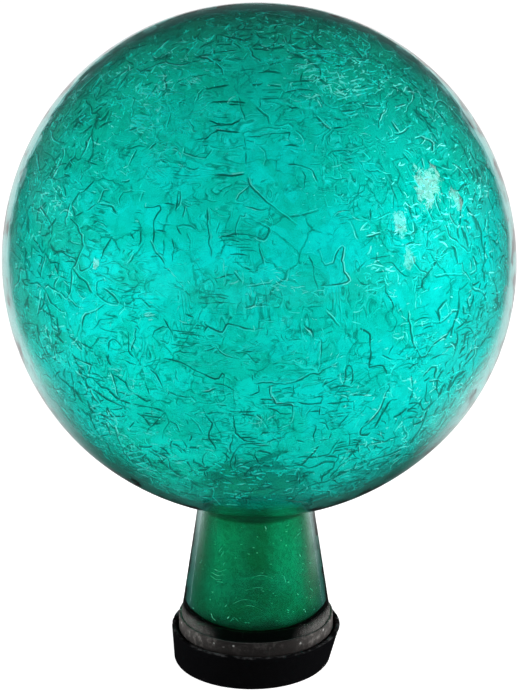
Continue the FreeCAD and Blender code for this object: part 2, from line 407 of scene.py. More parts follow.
def closeRings(rings):
    # rings of equal length from one pole to the other become a closed skin
    count = len(rings[0])
    verts = [rings[0].mean(0)] + [p for ring in rings for p in ring] + [rings[-1].mean(0)]
    faces = [(0, 1 + i, 1 + (i + 1) % count) for i in range(count)]
    for k in range(len(rings) - 1):
        faces += band(1 + k * count, 1 + (k + 1) * count, count)
    last, end = 1 + (len(rings) - 1) * count, len(verts) - 1
    return np.array(verts), faces + [(last + (i + 1) % count, last + i, end) for i in range(count)]


def closeLoops(rings):
    # rings that follow one another round a cross-section: down the outside, then up the inside
    count, faces = len(rings[0]), []
    for k in range(len(rings)):
        faces += band(k * count, (k + 1) % len(rings) * count, count)
    return np.concatenate(rings), faces


def turnsOf(around):
    return np.linspace(0, 2 * math.pi, around, endpoint=False)


def circle(radii, levels, centreX, turns):
    return np.stack([centreX + radii * np.cos(turns), radii * np.sin(turns), levels + turns * 0], 1)


def neckRings(profile, around):
    # rings round the neck's axis, or another where a third number gives it; profile holds radius and level
    turns = turnsOf(around)
    return [circle(r, z, other[0] if other else glass["neckX"], turns) for r, z, *other in profile]


roundness = {
    # clock angle of the outline seen by the camera, how far out of round in mm, spread in degrees
    "bumps": [(120, 0.55, 22), (318, 0.6, 26), (8, -0.35, 22), (72, -0.4, 20), (152, -0.4, 20),
        (228, 0.25, 25)],
}


def outOfRound(directions):
    # hand-blown glass: how far each direction from the ball's centre is pushed out, in mm
    right, up, back = cameraAxes()
    push = np.zeros(len(directions))
    for clock, size, spread in roundness["bumps"]:
        angle = math.radians(clock)
        centre = np.array(up * math.cos(angle) + right * math.sin(angle))
        apart = np.degrees(np.arccos(np.clip(directions @ centre, -1, 1)))
        push += size * np.exp(-(apart / spread) ** 2)
    return push


def ballSkin(ways, radius):
    # points of the ball in the given directions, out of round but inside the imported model's box
    ways = np.asarray(ways)
    fade = np.clip((ways[:, 2] + 0.93) / 0.25, 0, 1)
    points = ways * (radius + outOfRound(ways) * fade)[:, None] + np.array([0, 0, glass["ballCentre"]])
    return np.clip(points, np.array(cadBox[0]) / mm, np.array(cadBox[1]) / mm)


shellDetail = {"around": 232, "polarStep": 1.32, "pole": 0.35, "turnTo": 150.0, "lowSteps": 13}


def ballRings(radius, low, downwards):
    # rings over a sphere from its top to the ring of radius low round the neck's axis
    turns, last = turnsOf(shellDetail["around"]), shellDetail["turnTo"]
    polars = np.radians(np.linspace(shellDetail["pole"], last, int(last / shellDetail["polarStep"])))
    rings = [circle(radius * math.sin(polar), radius * math.cos(polar), 0, turns) for polar in polars]
    start = radius * math.sin(math.radians(last))
    for share in np.linspace(0, 1, shellDetail["lowSteps"] + 1)[1:]:
        ring = circle(start + (low - start) * share, 0, glass["neckX"] * share, turns)
        ring[:, 2] = -np.sqrt(radius ** 2 - ring[:, 0] ** 2 - ring[:, 1] ** 2)
        rings.append(ring)
    shaped = [ballSkin(ring / np.linalg.norm(ring, axis=1, keepdims=True), radius) for ring in rings]
    return shaped if downwards else shaped[::-1]


def run(start, end, steps):
    # points from start to end, the first left out
    return [
        (start[0] + (end[0] - start[0]) * k / steps, start[1] + (end[1] - start[1]) * k / steps)
        for k in range(1, steps + 1)
    ]


def bend(centre, radius, first, last, steps):
    return [
        (centre[0] + radius * math.cos(math.radians(a)), centre[1] + radius * math.sin(math.radians(a)))
        for a in np.linspace(first, last, steps)
    ]


flare = (glass["footRadius"] - glass["neckTopRadius"]) / (glass["neckTop"] - glass["footTop"])


def creaseBend():
    # the small round in the crease, tangent to the ball and to the neck
    g, z = glass, glass["neckTop"]
    for _ in range(6):
        r = g["neckTopRadius"] + flare * (g["neckTop"] - z) + g["crease"] * math.hypot(1, flare)
        z = g["ballCentre"] - math.sqrt((g["ballRadius"] + g["crease"]) ** 2 - r ** 2)
    toBall = math.degrees(math.atan2(g["ballCentre"] - z, -r))
    toNeck = 180 + math.degrees(math.atan2(flare, 1))
    return bend((r, z), g["crease"], toBall, toNeck, 7)


def makeClearGlass(paint):
    g = glass
    foot, bore, ledge, top = g["footRadius"], g["boreLow"], g["ledge"], (g["casingBoreHigh"], g["neckTop"])
    turn, low = g["mouthRadius"], g["mouth"] + g["mouthRadius"]
    crease = creaseBend()
    neck = crease + run(crease[-1], (foot, g["footTop"]), 22) + run((foot, g["footTop"]), (foot, low), 5)
    neck += bend((foot - turn, low), turn, 0, -90, 7)[1:] + bend((bore + turn, low), turn, -90, -180, 7)
    neck += run((bore, low), (bore, ledge - 0.1), 5)
    neck += [(bore + 0.03, ledge - 0.02)]  # small rounds at the ledge
    neck += run((bore + 0.1, ledge), (g["casingBoreLow"] - 0.1, ledge), 3)
    neck += [(g["casingBoreLow"] - 0.02, ledge + 0.03)] + run((g["casingBoreLow"], ledge + 0.1), top, 16)
    edge = g["ballCentre"] - math.sqrt(g["voidRadius"] ** 2 - top[0] ** 2)
    neck += run(top, (top[0], edge - 0.3), 2)
    shaped = neckRings(neck, shellDetail["around"])
    for ring, (r, z) in zip(shaped, neck[: len(crease) + 12]):
        # the crease follows the ball, whose axis stands beside the neck's
        fall = max(0.0, min(1.0, (z - 76) / 14))
        off = np.sqrt(g["ballRadius"] ** 2 - (ring[:, 0] ** 2 + ring[:, 1] ** 2))
        ring[:, 2] -= (off - math.sqrt(g["ballRadius"] ** 2 - r ** 2)) * fall
    rings = ballRings(g["ballRadius"], crease[0][0], True)[:-1] + shaped
    verts, faces = closeRings(rings + ballRings(g["voidRadius"], g["casingBoreHigh"] + 0.3, False))
    linked("clearGlassBall", verts * mm, faces, paint, "globe", "clear_casing")


def makeCrackledGlass(paint, neckPaint):
    g = glass
    edge = g["ballCentre"] - math.sqrt(g["liningRadius"] ** 2 - g["liningNeckHigh"] ** 2)
    inside = g["ballCentre"] - math.sqrt(g["liningVoid"] ** 2 - g["boreHigh"] ** 2)
    (r, low), high, bore = (
        (g["liningNeckLow"], g["liningEnd"]), (g["liningNeckHigh"], g["neckTop"]), g["boreLow"]
    )
    neck = [(high[0], edge - 0.3)] + run((high[0], edge - 0.3), high, 2)
    neck += run(high, (r, low + 0.1), 20) + [(r - 0.03, low + 0.02)]
    neck += run((r - 0.1, low), (bore + 0.1, low), 2) + [(bore + 0.02, low + 0.03)]
    neck += run((bore, low + 0.1), (g["boreHigh"], g["neckTop"]), 16)
    neck += run((g["boreHigh"], g["neckTop"]), (g["boreHigh"], inside - 0.3), 2)
    rings = ballRings(g["liningRadius"], high[0] + 0.3, True) + neckRings(neck, shellDetail["around"])
    verts, faces = closeRings(rings + ballRings(g["liningVoid"], g["boreHigh"] + 0.3, False))
    name, slotName = "crackledGlassBall", "crackled_glass"
    piece = linked(name, verts * mm, faces, paint, "globe", "crackle_lining")
    piece.data.materials.append(neckPaint.owner)
    for face in piece.data.polygons:
        face.material_index = 1 if face.center.z < (g["neckTop"] + g["neckPaintAbove"]) * mm else 0


# Glass

clearGlassLook = {
    "ballColour": (0.62, 0.99, 0.97), "neckColour": (0.95, 0.99, 0.98), "colourChange": (0.086, 0.102),
    "roughness": 0.0, "refraction": 1.5, "clearShare": 1.0, "lampTint": (0.96, 0.97, 0.97),
    "facetScale": 120.0, "facetTilt": 0.012, "wave": (110.0, 2.0), "waveHeight": 0.02,
    "depthColour": (0.50, 0.945, 0.92), "depthStrength": 100.0,
}

crackledGlassLook = {
    "ballColour": (0.004, 0.97, 0.97), "ballDeep": (0.0015, 0.78, 0.70), "paintedGlintColour": (0.15, 1.0, 1.0),
    # the colour above is the darker teal of the painted shade at the top and upper left; below is the greener
    # teal low down
    "strokeDark": (0.0, 0.30, 0.24), "above": (0.002, 0.55, 0.41), "below": (0.004, 0.95, 0.77),
    "clearShare": 0.82, "refraction": 1.14, "lampTint": (0.15, 0.93, 0.90),
    "mottle": (34.0, 5.0, 0.65), "cellScale": 92.0, "tone": (0.28, 0.70),
    # broad changes of tone: shares of height, of x and of the distance aside, their fade and their colour;
    # the top and the upper left are darkened as painted shade, the lower right is lightened as painted light,
    # and the bottom turns greener
    "paintedLightAndTones": [
        ((1.0, 0.0, 0.35), (0.055, 0.135, 0.0, 0.8), "above"),
        ((1.0, -0.16, 0.0), (-0.110, -0.030, 0.7, 0.0), "below"),
        ((0.3, -1.0, 0.0), (0.075, 0.130, 0.0, 0.32), "above"),
        ((-0.6, 0.8, 0.0), (0.035, 0.100, 0.0, 0.75), "ballColour"),
    ],
    # fine ripples: stretch over x, y and z, scale, lines, patch scale, patch level
    "ripples": [((1.0, 1.0, 2.6), 34.0, 15.0, 21.0, 0.47), ((2.4, 2.4, 0.9), 30.0, 15.0, 18.0, 0.50)],
    "swirlScale": 160.0, "swirl": (0.006, 0.006, 0.006),
    "microScale": 72.0, "microLine": (0.008, 0.035, 1.0, 0.0),
    "microPatches": (65.0, 2.0, 0.5, 0.46, 0.58), "strokeShade": 0.85, "strokeLight": 0.9,
    # bright specks as painted glints
    "paintedSparkles": {"scale": 250.0, "dot": (0.10, 0.24), "patches": (26.0, 3.0, 0.5, 0.54, 0.66)},
    "facetTilt": 0.22, "wave": (120.0, 3.0, 0.6), "waveHeight": 0.25, "roughness": 0.05,
}

neckGlassLook = {
    "colour": (0.0008, 0.29, 0.105), "bright": (0.002, 0.54, 0.27), "dark": (0.0, 0.06, 0.025),
    "clearShare": 0.66, "refraction": 1.25, "lampTint": (0.1, 0.7, 0.45), "roughness": 0.08,
    # brighter streaks, painted light where the side lamps light the neck: angles round its axis in degrees
    "lightStreaks": [-122, -55, 52, 128], "streakWidth": (30, 6),
    "streakFoot": (0.036, 0.056), "streakTop": (0.076, 0.090, 1.0, 0.25),
    # and darker ones, painted shade for the longer way through the glass at its sides
    "paintedShades": [0, 180], "shadeWidth": (52, 18),
    "cloud": (75.0, 6.0, 0.72, 0.36, 0.66), "speckle": (520.0, 3.0, 0.7, 0.42, 0.62),
    # painted shade at its ends: under the ball, broken by rings, and at its foot
    "ringStretch": (0.15, 0.15, 1.0), "rings": (700.0, 2.0, 0.5, 0.35, 0.60, 0.03, 0.22),
    "creaseShade": (0.0858, 0.0876), "foot": (0.0270, 0.0350), "ragged": (90.0, 3.0), "raggedness": 0.008,
    # bright specks as painted glints
    "paintedSparkleColour": (0.05, 0.95, 0.62),
    "paintedSparkles": {"scale": 210.0, "dot": (0.08, 0.20), "patches": (60.0, 2.0, 0.5, 0.58, 0.66)},
    "wave": (150.0, 3.0, 0.6), "waveHeight": 0.3,
}


def facets(paint, place, scale):
    # cells that each lean their own way, as a height
    cell = paint.cells(place, scale, "Color")
    lean = paint.vector("SUBTRACT", cell, (0.5, 0.5, 0.5))
    middle = Wire(paint, cell.socket.node.outputs["Position"])
    return paint.vector("DOT_PRODUCT", lean, paint.vector("SUBTRACT", place, middle), "Value")


def finishGlass(paint, look, colour, rough, height, **others):
    shader = paint.surface(colour, rough, {
        "IOR": look["refraction"], "Transmission Weight": look["clearShare"], "Normal": paint.bump(height),
    })
    letLampsThrough(paint, shader, look["lampTint"], **others)
    return paint


def waves(paint, place, look):
    return paint.grain(place, *look["wave"]) * (look["waveHeight"] * mm)


def clearGlassPaint():
    look = clearGlassLook
    paint = newPaint("clearGlass")
    place = paint.place()
    change = paint.ramp(paint.level(place), *look["colourChange"])
    colour = paint.mixColour(change, look["neckColour"], look["ballColour"])
    height = facets(paint, place, look["facetScale"]) * look["facetTilt"] + waves(paint, place, look)
    inputs = {"Color": look["depthColour"], "Density": look["depthStrength"]}
    depth = paint.node("ShaderNodeVolumeAbsorption", {}, inputs)
    return finishGlass(paint, look, colour, look["roughness"], height, Volume=depth)


def rippleStrokes(paint, place, stretch, scale, lines, patchScale, patchLevel):
    # contour lines of a wavy field, each dark one with a bright one beside it as a painted glint, broken and
    # in patches
    stretched = paint.vector("MULTIPLY", place, stretch)
    phase = paint.sum("FRACT", paint.grain(stretched, scale, 2.0, 0.55) * lines, 0.0)
    patches = paint.patches(place, patchScale, 2.0, 0.5, patchLevel, patchLevel + 0.07)
    broken = paint.patches(stretched, scale * 3.1, 1.0, 0.5, 0.45, 0.56)
    dark = paint.ramp(abs(phase - 0.40), 0.05, 0.16, 1.0, 0.0)
    bright = paint.ramp(abs(phase - 0.66), 0.05, 0.15, 1.0, 0.0)
    return bright * patches * broken, dark * patches * broken


def crackledGlassPaint():
    look = crackledGlassLook
    paint = newPaint("crackledTealGlass")
    place = paint.place()
    cells = paint.node("ShaderNodeSeparateColor", {}, {0: paint.cells(place, look["cellScale"], "Color")})
    tone = paint.ramp(paint.grain(place, *look["mottle"]) * 0.65 + cells * 0.35, *look["tone"])
    colour = paint.mixColour(tone, look["ballDeep"], look["ballColour"])
    height, across = paint.level(place) - glass["ballCentre"] * mm, paint.level(place, "X")
    # painted shade darkens the top and the upper left, painted light brightens the lower right
    for (up, right, aside), fade, towards in look["paintedLightAndTones"]:
        lie = height * up + across * right + abs(across) * aside
        colour = paint.mixColour(paint.ramp(lie, *fade), colour, look[towards])
    bright, dark = 0.0, 0.0
    for ripple in look["ripples"]:
        more = rippleStrokes(paint, place, *ripple)
        bright, dark = more[0] + bright, more[1] + dark
    swirl = paint.grain(place, look["swirlScale"], 2.0, 0.5, "Color")
    warped = paint.vector("ADD", place, paint.vector("MULTIPLY", swirl, look["swirl"]))
    edge = paint.cells(warped, look["microScale"], "Distance", feature="DISTANCE_TO_EDGE")
    fine = paint.ramp(edge, *look["microLine"]) * paint.patches(place, *look["microPatches"])
    dark = paint.sum("MINIMUM", dark + fine, 1.0) * look["strokeShade"]
    colour = paint.mixColour(dark, colour, look["strokeDark"])
    # the bright strokes and specks are painted glints
    bright = paint.sum("MINIMUM", bright + paint.specks(place, look["paintedSparkles"]), 1.0) * look["strokeLight"]
    colour = paint.mixColour(bright, colour, look["paintedGlintColour"])
    height = facets(paint, place, look["cellScale"]) * look["facetTilt"] + waves(paint, place, look)
    rough = look["roughness"] + paint.grain(place, 70.0, 2.0) * 0.08
    return finishGlass(paint, look, colour, rough, height)


def stripes(paint, outward, angles, width):
    # bands down the neck at the given angles round its axis
    wide, narrow = (math.cos(math.radians(angle)) for angle in width)
    total = 0.0
    for turn in (math.radians(angle) for angle in angles):
        facing = paint.vector("DOT_PRODUCT", outward, (math.cos(turn), math.sin(turn), 0), "Value")
        total = paint.ramp(facing, wide, narrow) + total
    return total


def neckGlassPaint():
    look = neckGlassLook
    paint = newPaint("greenNeckGlass")
    place = paint.place()
    z = paint.level(place)
    flat = paint.vector("SUBTRACT", place, (glass["neckX"] * mm, 0, 0))
    outward = paint.vector("NORMALIZE", paint.vector("MULTIPLY", flat, (1, 1, 0)))
    # painted light: brighter streaks where the side lamps catch the neck
    paintedLightStreak = stripes(paint, outward, look["lightStreaks"], look["streakWidth"])
    paintedLightStreak = paintedLightStreak * paint.ramp(z, *look["streakFoot"]) * paint.ramp(z, *look["streakTop"])
    cloud = paint.patches(place, *look["cloud"])
    colour = paint.mixColour(cloud * 0.45 + paintedLightStreak * 0.60, look["colour"], look["bright"])
    # painted shade: darker bands down the neck's sides
    paintedShade = stripes(paint, outward, look["paintedShades"], look["shadeWidth"])
    for share in (paintedShade * 0.5, paint.patches(place, *look["speckle"]) * 0.35):
        colour = paint.mixColour(share, colour, look["dark"])
    ragged = paint.grain(place, *look["ragged"]) * look["raggedness"]
    rings = paint.patches(paint.vector("MULTIPLY", place, look["ringStretch"]), *look["rings"])
    # the top of the neck under the ball and its foot are painted dark, as painted shade
    creaseShade = paint.ramp(z + ragged * 0.15, *look["creaseShade"])
    clearOfEndShade = paint.ramp(z - ragged, *look["foot"]) * (1 - creaseShade * (1 - rings))
    colour = paint.mixColour(clearOfEndShade, look["dark"], colour)
    colour = paint.mixColour(paint.specks(place, look["paintedSparkles"]), colour, look["paintedSparkleColour"])
    return finishGlass(paint, look, colour, look["roughness"] + cloud * 0.06, waves(paint, place, look))


makeClearGlass(clearGlassPaint())
makeCrackledGlass(crackledGlassPaint(), neckGlassPaint())
print("glass blown")


# Crackle

crackle = {
    "seed": 41, "radius": 123.17, "step": 1.0, "lowest": -0.955, "thinnest": 0.12,
    "ripples": 110, "glints": 4900, "wander": 0.11, "kinkOften": 0.20, "kink": 0.65, "pull": 0.045,
    # least distance from other cracks in mm, tries, share of upright ones, longest half in mm
    "rounds": [(16, 500, 0.7, 70), (9, 1500, 0.35, 42), (5.5, 3500, 0.5, 22), (3.4, 9000, 0.5, 9)],
}


class CrackField:
    # the points of the cracks made so far, kept by small cubes
    def __init__(self, cube):
        self.cube = cube
        self.cubes = {}

    def key(self, p):
        return tuple(int(math.floor(c / self.cube)) for c in p)

    def add(self, p, crack):
        self.cubes.setdefault(self.key(p), []).append((p, crack))

    def near(self, p, reach, crack):
        cx, cy, cz = self.key(p)
        for x in (cx - 1, cx, cx + 1):
            for y in (cy - 1, cy, cy + 1):
                for z in (cz - 1, cz, cz + 1):
                    for q, other in self.cubes.get((x, y, z), ()):
                        if other != crack and (q - p).length_squared < reach * reach:
                            return q
        return None


# main cracks of the photograph, in its pixels
photoCracks = [
    [(245, 120), (245, 145), (246.7, 158), (246.7, 177), (250, 186), (259, 195), (269, 204),
        (280.5, 214), (291, 222), (297, 226)],
    [(250, 186), (240, 195), (233, 208)],
    [(236, 204), (249, 208), (263, 210.5), (270, 207)],
    [(214, 177), (229.5, 176), (245, 175)],
    [(283, 165), (300, 166), (312, 172), (317.5, 182.5)],
    [(314, 145), (314, 171)],
    [(294.5, 130), (302, 136.6), (307, 145.5)],
    [(209, 122.5), (222, 126), (232, 126), (241, 121)],
    [(192.5, 142), (206.5, 140), (219, 131.5), (240, 134)],
    [(307, 250), (311, 261.6), (316, 284.5), (317.5, 298.6)],
    [(232, 270.5), (247, 287), (271.6, 283)],
    [(208, 208), (208, 222), (211.6, 258)],
    [(180, 191), (177, 208), (174.6, 222), (183.6, 237)],
    [(149, 237), (155.5, 249), (165.7, 265.4)],
    [(131, 230), (136, 240)],
    [(177, 108), (185, 102), (199, 101), (207, 101)],
    [(206, 91), (201, 96), (198, 103), (194, 111), (189, 121)],
    [(209, 107), (214, 104), (223, 103), (235, 104), (250, 105)],
    [(239, 93), (240, 105), (243, 114), (246, 122)], [(230, 147), (241, 146)],
    [(203, 182), (212, 183)], [(218, 191), (225, 194)], [(233, 208), (238, 204), (245, 205)],
    [(158, 131), (158, 138), (161, 142), (166, 141)], [(146, 155), (153, 148), (160, 142)],
    [(160, 158), (164, 162), (169, 166)], [(172, 161), (182, 162)], [(179, 177), (185, 178)],
    [(181, 185), (181, 198), (180, 205), (174, 212)],
    [(105, 180), (112, 182), (120, 183), (128, 183), (134, 180)],
    [(145, 193), (143, 200), (142, 207)], [(177, 226), (184, 225), (192, 227), (199, 231)],
    [(121, 128), (121, 136)], [(308, 104), (309, 114)],
    [(310, 111), (316, 118), (322, 125), (329, 132)],
    [(299, 97), (311, 97), (321, 95), (336, 93), (346, 91)], [(302, 74), (300, 80), (300, 90)],
    [(250, 87), (259, 87), (267, 84)], [(256, 108), (263, 115), (267, 118), (270, 126)],
    [(284, 147), (297, 147)], [(321, 142), (335, 139)], [(331, 130), (350, 129), (368, 128)],
    [(333, 120), (343, 121)], [(361, 103), (363, 117)],
    [(385, 110), (379, 117), (376, 123), (378, 130)], [(372, 136), (379, 142)],
    [(378, 69), (383, 77), (386, 84)], [(369, 72), (372, 78)], [(403, 118), (408, 126)],
    [(204, 331), (208, 326), (215, 329), (222, 331), (228, 324), (234, 324), (245, 327), (253, 329),
        (265, 327)],
    [(265, 324), (268, 330), (267, 336)], [(270, 326), (276, 321), (282, 319), (288, 316)],
    [(242, 330), (243, 336)], [(321, 307), (329, 315), (335, 322), (340, 328)],
    [(324, 334), (332, 330), (343, 326)], [(304, 324), (310, 329), (313, 336)],
    [(286, 340), (296, 338), (303, 337)],
    [(318, 335), (321, 340), (321, 357), (320, 363), (317, 370)],
    [(231, 350), (237, 349), (244, 345)], [(241, 359), (242, 365)],
    [(269, 367), (274, 364), (280, 361)], [(248, 373), (253, 374), (254, 382)],
    [(234, 379), (244, 378)], [(213, 381), (222, 383), (231, 386), (240, 392)],
    [(200, 390), (210, 390), (217, 387)],
    [(238, 396), (241, 405), (242, 410), (247, 413), (254, 413)],
    [(208, 399), (218, 403), (234, 406)], [(248, 398), (259, 399)],
    [(296, 399), (303, 402), (320, 402), (322, 397)],
    [(320, 403), (318, 415), (310, 424), (300, 432), (289, 434), (272, 438), (265, 441)],
    [(317, 420), (324, 422), (330, 430)],
    [(249, 421), (247, 432), (249, 440), (255, 447), (257, 460)],
    [(346, 426), (349, 432), (347, 443)], [(297, 225), (304, 237)], [(314, 253), (321, 248)],
    [(239, 268), (245, 268), (256, 272)], [(258, 246), (262, 256), (263, 268)],
    [(287, 282), (284, 292), (283, 299)], [(186, 313), (195, 317)], [(248, 212), (249, 217)],
]

# fine ripples of the photograph: centre, width and height in its pixels
photoRipples = [
    ((215, 300), (42, 22)), ((280, 396), (46, 24)), ((222, 440), (46, 16)), ((344, 156), (20, 16)),
    ((173, 192), (18, 46)),
    ((375, 270), (40, 26)), ((455, 120), (26, 40)), ((300, 90), (40, 16)), ((228, 118), (30, 30)),
    ((190, 340), (36, 30)),
    ((340, 400), (34, 36)), ((130, 300), (30, 40)), ((100, 215), (26, 34)), ((260, 70), (50, 16)),
    ((350, 440), (40, 26)),
    ((150, 410), (36, 30)), ((420, 330), (30, 34)), ((345, 215), (26, 30)), ((160, 245), (22, 26)),
    ((230, 235), (34, 22)),
]

# short bright dashes of the photograph, then its areas full of them: centre, spread and how many
photoDashes = [
    [(142, 96), (155, 97)], [(133, 123), (145, 125)], [(132, 127), (144, 128)], [(136, 118), (151, 120)],
    [(311, 100), (316, 97)], [(304, 75), (310, 72)], [(315, 65), (325, 66)], [(329, 76), (336, 75)],
    [(349, 84), (360, 81)], [(352, 94), (362, 92), (372, 90)], [(353, 98), (365, 95)],
    [(398, 81), (403, 86)],
    [(142, 90.6), (153, 92)], [(139, 95.2), (157, 96.7)], [(137, 117), (151, 118.7)],
    [(137, 121), (153, 122.4)],
    [(131.6, 127), (148, 130)], [(118, 118.7), (123.5, 120)], [(107, 71), (112, 69)],
    [(111.7, 68), (115, 66.6)],
    [(73, 101), (77, 98)], [(157, 78), (169, 79)], [(194, 81.7), (201, 86)], [(197, 79.8), (202, 83.6)],
    [(150, 94.4), (156.4, 97)], [(303, 75.3), (309.4, 72)], [(308, 67.6), (319.6, 65)],
    [(327, 83.6), (336, 80.4)],
    [(340, 74.7), (350, 71.5)], [(339, 85), (346, 86.8)], [(335.6, 102), (350, 98.3)],
    [(55, 131), (58, 125)],
    [(89, 388), (96, 387)], [(87, 394), (95, 393)], [(94, 404), (103, 402)], [(95, 412), (104, 410)],
    [(96, 420), (108, 418)], [(99, 427), (107, 424)], [(129, 451), (138, 448)], [(133, 455), (147, 452)],
    [(138, 461), (150, 458)], [(140, 466), (152, 463)],
]
# how far out in pixels the edge of the ball is full of short lines, and how many bright and dark ones
edgeLines = {"middle": (259.3, 259.4), "outFrom": (222, 13), "furthest": 244.5, "bright": 700, "dark": 620}
dashAreas = [
    ((150, 103), 18, 130), ((335, 72), 24, 210), ((115, 425), 30, 110), ((417, 370), 28, 90),
        ((375, 275), 10, 20),
    ((478, 190), 15, 50), ((170, 145), 14, 40), ((425, 215), 36, 90), ((60, 200), 20, 50), ((300, 60),
        26, 50),
    ((370, 440), 24, 50), ((230, 470), 34, 40), ((95, 330), 26, 50), ((110, 160), 16, 30), ((190, 75),
        20, 30),
]


def onBall(pixel, radius):
    # the direction from the ball's centre to the point of its front that a pixel of the photograph shows
    eye, ray = photoRay(pixel, glass["ballCentre"])
    along = eye.dot(ray)
    hit = eye - ray * (along + math.sqrt(max(0.0, along ** 2 - eye.length_squared + radius ** 2)))
    return hit.normalized()


def photoPath(pixels, draw):
    # a crack through named pixels, in steps, with a slight wobble
    radius = crackle["radius"]
    ways = [onBall(pixel, radius) for pixel in pixels]
    shift = draw.uniform(0, 500)
    path = []
    for a, b in zip(ways, ways[1:]):
        steps = max(1, round((b - a).length * radius / crackle["step"]))
        for k in range(steps):
            way = a.lerp(b, k / steps).normalized()
            side = way.cross(b - a).normalized()
            wobble = noise.noise(Vector((way * radius * 0.25)) + Vector((shift, 0, 0))) * 0.7 / radius
            path.append((way + side * wobble).normalized() * radius)
    path.append(ways[-1] * radius)
    return path


def eastOf(way):
    east = Vector((0, 0, 1)).cross(way)
    return east.normalized() if east.length > 1e-4 else Vector((1, 0, 0))


def anyWay(draw):
    return Vector((draw.gauss(0, 1), draw.gauss(0, 1), draw.gauss(0, 1)))


def leaning(way, upright, spread, draw):
    # a heading along the ball's skin, about level or about upright
    east = eastOf(way)
    angle = draw.gauss(math.pi / 2 if draw.random() < upright else 0, spread)
    return east * math.cos(angle) + way.cross(east) * math.sin(angle)


def growCrack(field, number, start, heading, length, draw):
    # one crack from a point on the unit sphere; it ends on the next crack that it meets
    radius = crackle["radius"]
    way, head = start.normalized(), heading.normalized()
    path = [way * radius]
    travelled = 0.0
    while travelled < length:
        turn = draw.gauss(0, crackle["wander"])
        if draw.random() < crackle["kinkOften"]:
            turn += draw.gauss(0, crackle["kink"])
        east = eastOf(way)
        north = way.cross(east)
        aim = max((east, -east, north, -north), key=lambda a: a.dot(head))
        head = (head + aim * crackle["pull"]).normalized()
        side = way.cross(head)
        head = (head * math.cos(turn) + side * math.sin(turn)).normalized()
        way = (way + head * crackle["step"] / radius).normalized()
        head = (head - way * head.dot(way)).normalized()
        if way.z < crackle["lowest"]:
            break
        p = way * radius
        path.append(p)
        travelled += crackle["step"]
        hit = field.near(p, 1.3, number)
        if hit is not None:
            path.append(hit)
            break
    return path


def growCrackle():
    # cells are split again and again: a crack starts wherever the nearest one is far enough away
    draw = random.Random(crackle["seed"])
    field = CrackField(2.6)
    cracks = [(photoPath(pixels, draw), 17) for pixels in photoCracks]
    for number, (path, _) in enumerate(cracks):
        for q in path:
            field.add(q, number)
    spots = np.array([tuple(q) for path, _ in cracks for q in path])
    for gap, tries, uprightShare, longest in crackle["rounds"]:
        for _ in range(tries):
            way = anyWay(draw)
            if way.length < 0.1 or way.normalized().z < crackle["lowest"]:
                continue
            way.normalize()
            p = way * crackle["radius"]
            coarse = 0.75 + 0.9 * (noise.noise(p * 0.022) + 0.5)  # some parts have larger cells
            if np.min(np.sum((spots - np.array(p)) ** 2, axis=1)) < (gap * coarse) ** 2:
                continue
            head = leaning(way, uprightShare, 0.28, draw)
            number = len(cracks)
            ahead = growCrack(field, number, way, head, draw.uniform(0.35, 1) * longest, draw)
            behind = growCrack(field, number, way, -head, draw.uniform(0.35, 1) * longest, draw)
            path = behind[::-1] + ahead[1:]
            if len(path) < 3:
                continue
            for q in path:
                field.add(q, number)
            spots = np.vstack([spots, np.array([tuple(q) for q in path])])
            cracks.append((path, gap))
    total = sum(len(path) for path, _ in cracks) * crackle["step"]
    print(f"crackle grown: {len(cracks)} cracks, {total / 1000:.1f} m")
    return cracks


def ballFace(points):
    ways = np.array([tuple(p) for p in points])
    ways /= np.linalg.norm(ways, axis=1, keepdims=True)
    return ballSkin(ways, crackle["radius"]), ways


def neckFace(points):
    pts = np.array([tuple(p) for p in points])
    ways = pts * np.array([1, 1, 0]) - np.array([glass["neckX"], 0, 0])
    return pts, ways / np.linalg.norm(ways, axis=1, keepdims=True)


def slivers(paths, depth, face=ballFace):
    # each path becomes a thin closed wedge: widths at the surface, a keel below it
    verts, faces = [], []
    for points, widths in paths:
        count = len(points)
        pts, ways = face(points)
        side = np.cross(ways, np.gradient(pts, axis=0))
        side /= np.maximum(np.linalg.norm(side, axis=1, keepdims=True), 1e-9)
        half = np.array(widths)[:, None] * 0.5
        keel = np.minimum(depth, np.array(widths) * 2.2)[:, None]
        base = len(verts)
        verts += list(pts + side * half) + list(pts - side * half) + list(pts - ways * keel)
        for i in range(count - 1):
            a, b, c = base + i, base + count + i, base + 2 * count + i
            faces += [(a, a + 1, b + 1, b), (b, b + 1, c + 1, c), (c, c + 1, a + 1, a)]
        for i, turned in ((0, False), (count - 1, True)):
            end = (base + i, base + count + i, base + 2 * count + i)
            faces.append(end[::-1] if turned else end)
    return np.array(verts) * mm, faces


def crackDashes(path, gap, draw):
    # a crack shows dark, faint or not at all along its way, so it is cut into dashes of changing width
    widest = (0.47 + 0.020 * gap) * draw.uniform(0.5, 1.1)
    shift = Vector((draw.uniform(0, 500), 0, 0))
    count = len(path)
    dashes, points, widths = [], [], []
    for i, p in enumerate(path):
        ink = 0.52 + 0.9 * noise.noise(p * 0.06 + shift) + 1.0 * noise.noise(p * 0.19 - shift)
        taper = min(1.0, 0.3 + i / 4, 0.3 + (count - 1 - i) / 4)
        width = widest * taper * min(1.15, ink)
        if width > crackle["thinnest"]:
            points.append(p)
            widths.append(width)
        if (width <= crackle["thinnest"] or i == count - 1) and points:
            if len(points) > 2:
                widths[0] *= 0.4
                widths[-1] *= 0.4
                dashes.append((points, widths))
            points, widths = [], []
    return dashes


def tangentPath(way, along, length, sag, across=None):
    # a slightly arched line on the ball, its middle in the given direction
    radius, across = crackle["radius"], across or way.cross(along)
    count = max(3, int(length / crackle["step"]))
    path = []
    for k in range(count + 1):
        share = k / count - 0.5
        off = along * (share * length) + across * (sag * (1 - 4 * share * share))
        path.append((way + off / radius).normalized() * radius)
    return path


